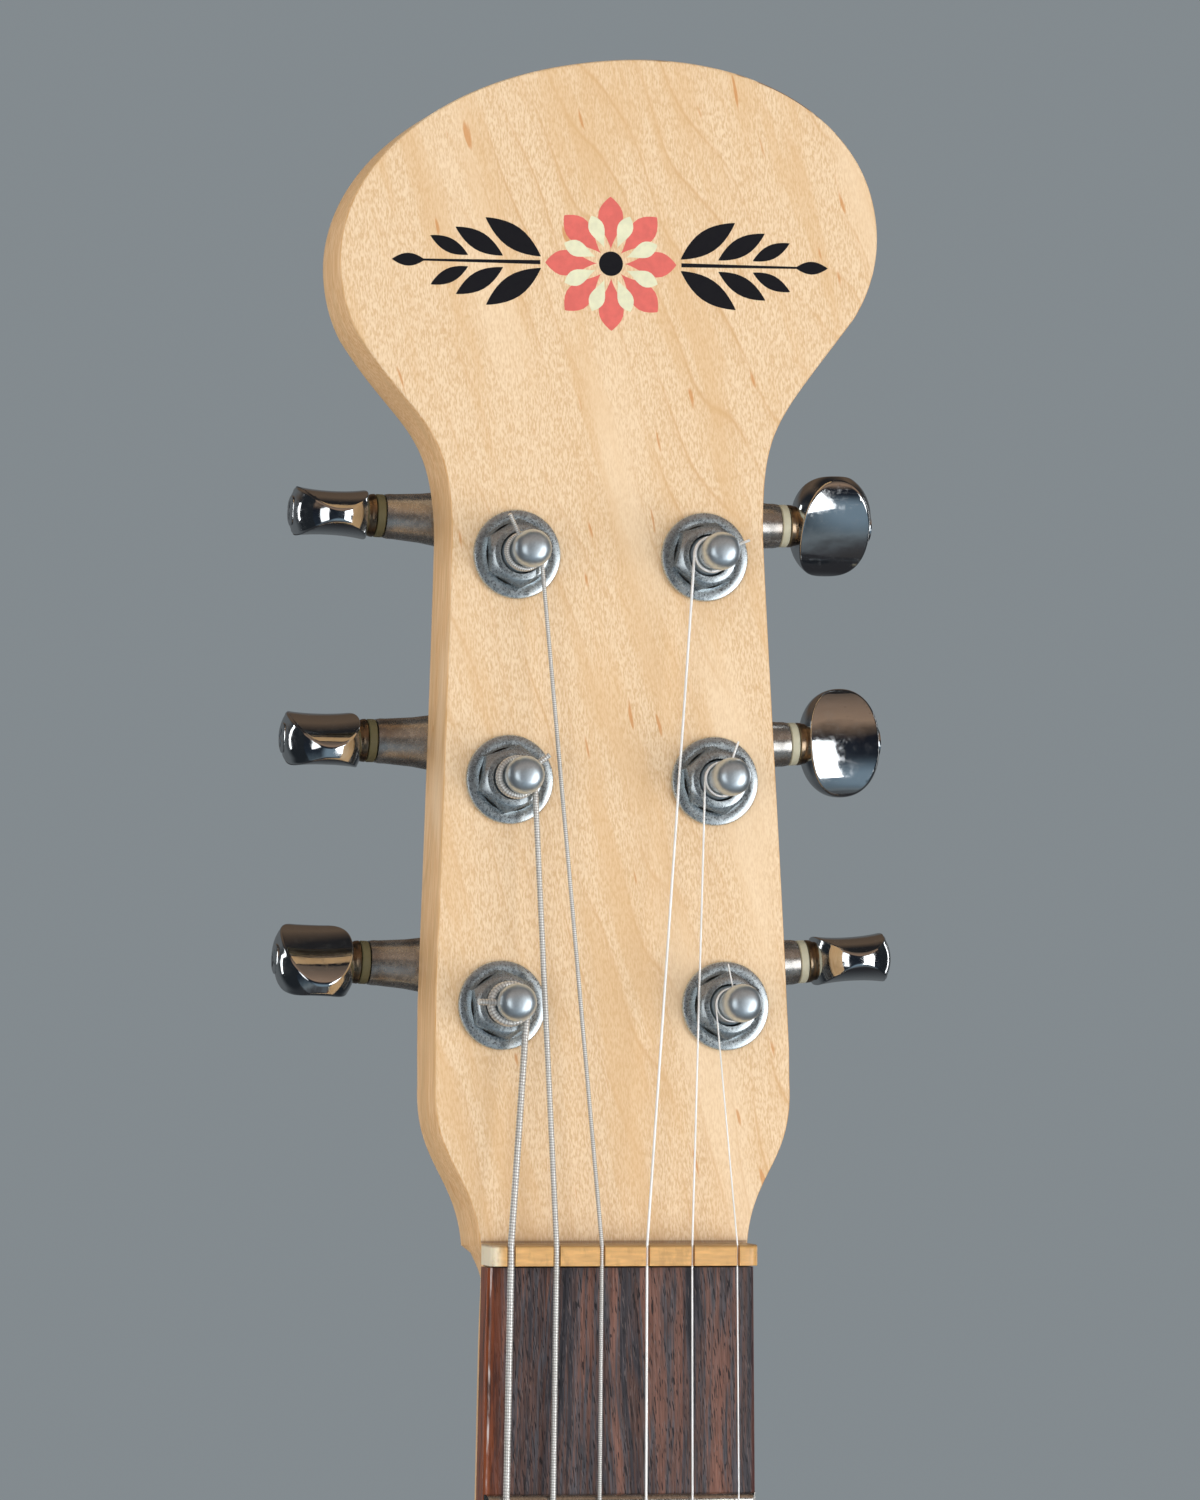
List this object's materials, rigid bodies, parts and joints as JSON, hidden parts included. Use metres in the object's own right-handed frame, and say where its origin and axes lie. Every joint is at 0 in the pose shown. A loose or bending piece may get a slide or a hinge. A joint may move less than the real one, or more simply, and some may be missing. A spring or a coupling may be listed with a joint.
{
  "type": "electric sitar",
  "caption": "Six-string electric sitar with a gourd-shaped semi-hollow body, a bulb-ended maple headstock and a curved buzzing bridge.",
  "frame": {"origin": "centre line at the nut end of the fretboard, on the plane where the fretboard is glued to the neck", "axes": "+Z along the neck towards the headstock, -Y out of the front, +X to the treble side"},
  "size_m": [0.3019, 0.0734, 0.9335],
  "materials": {
    "maple": "satin lacquer over pale figured maple",
    "rosewood": "oiled dark open-grained rosewood",
    "bone": "amber-aged bone",
    "chrome": "bright chrome, lightly worn",
    "plated": "dulled nickel plate",
    "steel": "bright drawn steel",
    "wound": "round-wound nickel",
    "crackle": "deep red crackle lacquer under gloss",
    "poplar": "bare poplar",
    "cream": "cream plastic",
    "black": "black tape over a coil",
    "brass": "polished brass"
  },
  "bodies": {
    "instrument": {"neck": "maple", "truss_rod": "steel", "fretboard": "rosewood", "nut": "bone", "neck_plate": "chrome", "tuner_housing_1": "chrome", "tuner_bushing_1": "plated", "string_1": "steel", "tuner_housing_2": "chrome", "tuner_bushing_2": "plated", "string_2": "steel", "tuner_housing_3": "chrome", "tuner_bushing_3": "plated", "string_3": "steel", "tuner_housing_4": "chrome", "tuner_bushing_4": "plated", "string_4": "wound", "tuner_housing_5": "chrome", "tuner_bushing_5": "plated", "string_5": "wound", "tuner_housing_6": "chrome", "tuner_bushing_6": "plated", "string_6": "wound", "body_frame": "poplar", "top_panel": "crackle", "back_panel": "crackle", "edge_binding": "cream", "pickguard": "cream", "pickup_cover": "chrome", "pickup_coil": "black", "bridge_base": "chrome", "height_screw_bass": "chrome", "height_screw_treble": "chrome", "tail_block": "brass", "volume_pot": "plated", "tone_pot": "plated", "output_jack": "plated", "jack_plate": "chrome", "strap_button_end": "chrome", "strap_button_heel": "chrome"},
    "key_1": {"tuner_key_1": "chrome"},
    "post_1": {"tuner_post_1": "chrome"},
    "key_2": {"tuner_key_2": "chrome"},
    "post_2": {"tuner_post_2": "chrome"},
    "key_3": {"tuner_key_3": "chrome"},
    "post_3": {"tuner_post_3": "chrome"},
    "key_4": {"tuner_key_4": "chrome"},
    "post_4": {"tuner_post_4": "chrome"},
    "key_5": {"tuner_key_5": "chrome"},
    "post_5": {"tuner_post_5": "chrome"},
    "key_6": {"tuner_key_6": "chrome"},
    "post_6": {"tuner_post_6": "chrome"},
    "volume": {"volume_knob": "cream", "volume_shaft": "plated"},
    "tone": {"tone_knob": "cream", "tone_shaft": "plated"},
    "buzz": {"buzz_plate": "brass"}
  },
  "joints": [
    {"name": "key_turn_1", "type": "hinge", "parent": "instrument", "child": "key_1", "pos_m": [0.0356, 0.02191, 0.0465], "axis": [0.9983, 0.0035, 0.059], "continuous": true},
    {"name": "post_turn_1", "type": "hinge", "parent": "instrument", "child": "post_1", "pos_m": [0.01763, 0.00218, 0.03979], "axis": [0, -0.9982, 0.0598], "continuous": true},
    {"name": "key_turn_2", "type": "hinge", "parent": "instrument", "child": "key_2", "pos_m": [0.03441, 0.02395, 0.08052], "axis": [0.9996, 0.0017, 0.0282], "continuous": true},
    {"name": "post_turn_2", "type": "hinge", "parent": "instrument", "child": "post_2", "pos_m": [0.01621, 0.00425, 0.07437], "axis": [0, -0.9982, 0.0598], "continuous": true},
    {"name": "key_turn_3", "type": "hinge", "parent": "instrument", "child": "key_3", "pos_m": [0.0332, 0.026, 0.11472], "axis": [1, 0.0004, 0.0071], "continuous": true},
    {"name": "post_turn_3", "type": "hinge", "parent": "instrument", "child": "post_3", "pos_m": [0.01485, 0.00632, 0.10895], "axis": [0, -0.9982, 0.0598], "continuous": true},
    {"name": "key_turn_4", "type": "hinge", "parent": "instrument", "child": "key_4", "pos_m": [-0.03294, 0.02604, 0.11537], "axis": [-0.9991, 0.0026, 0.0428], "continuous": true},
    {"name": "post_turn_4", "type": "hinge", "parent": "instrument", "child": "post_4", "pos_m": [-0.01485, 0.00632, 0.10895], "axis": [0, -0.9982, 0.0598], "continuous": true},
    {"name": "key_turn_5", "type": "hinge", "parent": "instrument", "child": "key_5", "pos_m": [-0.03446, 0.02395, 0.08041], "axis": [-0.9998, 0.0013, 0.022], "continuous": true},
    {"name": "post_turn_5", "type": "hinge", "parent": "instrument", "child": "post_5", "pos_m": [-0.01621, 0.00425, 0.07437], "axis": [0, -0.9982, 0.0598], "continuous": true},
    {"name": "key_turn_6", "type": "hinge", "parent": "instrument", "child": "key_6", "pos_m": [-0.03577, 0.02189, 0.04609], "axis": [-0.9993, 0.0022, 0.0362], "continuous": true},
    {"name": "post_turn_6", "type": "hinge", "parent": "instrument", "child": "post_6", "pos_m": [-0.01763, 0.00218, 0.03979], "axis": [0, -0.9982, 0.0598], "continuous": true},
    {"name": "volume_turn", "type": "hinge", "parent": "instrument", "child": "volume", "pos_m": [0.08398, 0, -0.63807], "axis": [0, -1, 0], "range_deg": [-150, 150]},
    {"name": "tone_turn", "type": "hinge", "parent": "instrument", "child": "tone", "pos_m": [0.06602, 0, -0.68793], "axis": [0, -1, 0], "range_deg": [-150, 150]},
    {"name": "buzz_slide", "type": "slide", "parent": "instrument", "child": "buzz", "axis": [0, 1, 0], "range_m": [0, 0.0015]}
  ],
  "couplings": [
    {"joint": "post_turn_1", "follows": "key_turn_1", "ratio": 0.071429},
    {"joint": "post_turn_2", "follows": "key_turn_2", "ratio": 0.071429},
    {"joint": "post_turn_3", "follows": "key_turn_3", "ratio": 0.071429},
    {"joint": "post_turn_4", "follows": "key_turn_4", "ratio": -0.071429},
    {"joint": "post_turn_5", "follows": "key_turn_5", "ratio": -0.071429},
    {"joint": "post_turn_6", "follows": "key_turn_6", "ratio": -0.071429}
  ]
}
